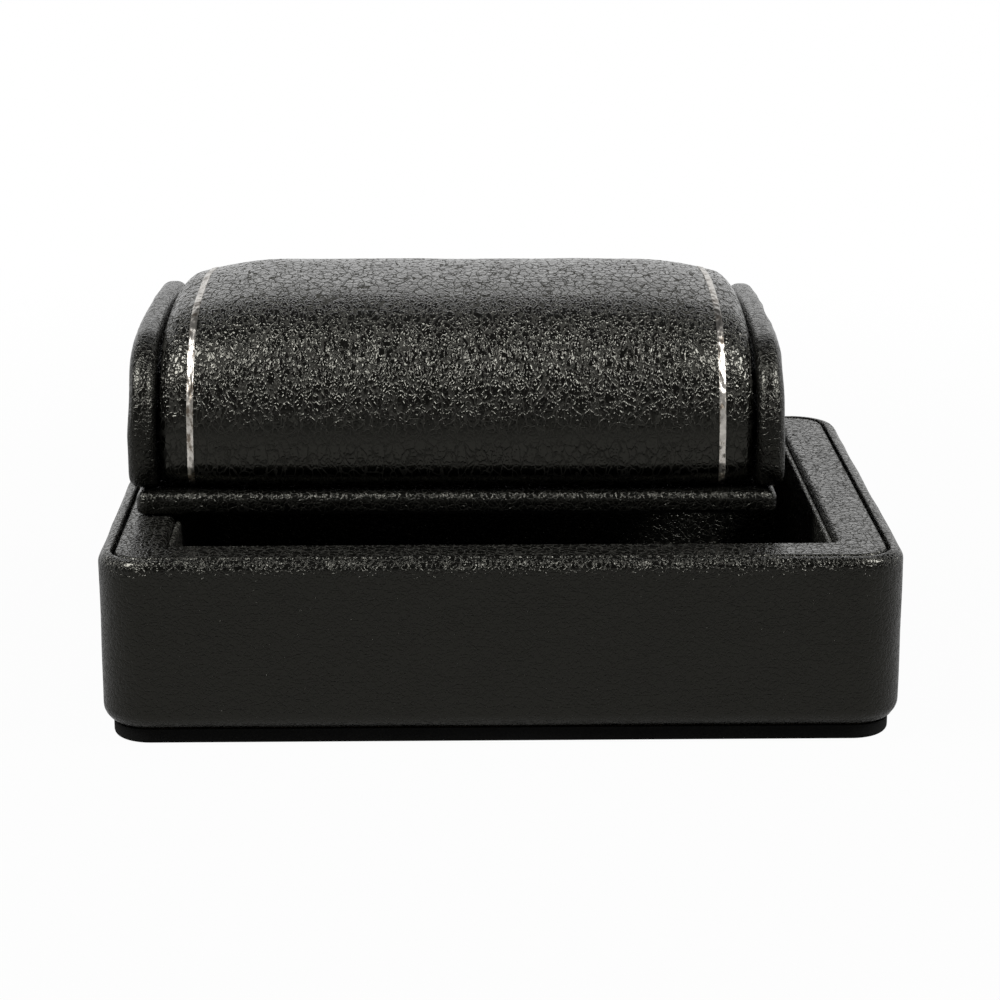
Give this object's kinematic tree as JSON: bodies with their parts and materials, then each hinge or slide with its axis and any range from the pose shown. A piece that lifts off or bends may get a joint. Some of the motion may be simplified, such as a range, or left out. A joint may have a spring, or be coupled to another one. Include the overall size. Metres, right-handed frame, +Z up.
{
  "type": "watch stand",
  "caption": "Leather-covered valet case on a felt foot with an open tray, and a lift-off lid, set down ajar, that carries a padded watch roll between upright cheeks",
  "frame": {"origin": "middle of the case's felt underside, on the surface it stands on", "axes": "+Z up, +Y to the back of the case, +X to the right along the roll"},
  "size_m": [0.2, 0.1575, 0.1013],
  "materials": {
    "leather": "black pebble-grain leather with a low sheen",
    "felt": "dense black felt",
    "suede": "black suede cloth on card",
    "board": "fibreboard and grey card",
    "beech": "planed beech",
    "foam": "firm upholstery foam",
    "steel": "zinc-plated steel",
    "silver_foil": "warm silver foil pressed into the grain"
  },
  "bodies": {
    "case": {"foot_felt": "felt", "foot_board": "board", "bottom_filler_card": "board", "bottom_board": "board", "bottom_screws": "steel", "core_front": "board", "core_back": "board", "core_left": "board", "core_right": "board", "shell_front": "board", "shell_back": "board", "shell_left": "board", "shell_right": "board", "case_leather": "leather", "rim_board": "board", "rim_leather": "leather", "liner_front": "suede", "liner_back": "suede", "liner_left": "suede", "liner_right": "suede", "tray_floor_card": "board", "tray_floor_suede": "suede"},
    "lid": {"lid_board": "board", "lid_leather": "leather", "lid_lining": "suede", "cheek_board_left": "board", "cheek_board_right": "board", "cheek_leather_left": "leather", "cheek_leather_right": "leather", "roll_screws": "steel", "roll_core": "beech", "roll_foam": "foam", "roll_leather": "leather", "roll_dowels": "beech", "silver_band_left": "silver_foil", "silver_band_right": "silver_foil"}
  },
  "joints": [
    {"name": "lid_lift", "type": "slide", "parent": "case", "child": "lid", "axis": [0, 0, 1], "range_m": [0, 0.08]}
  ]
}
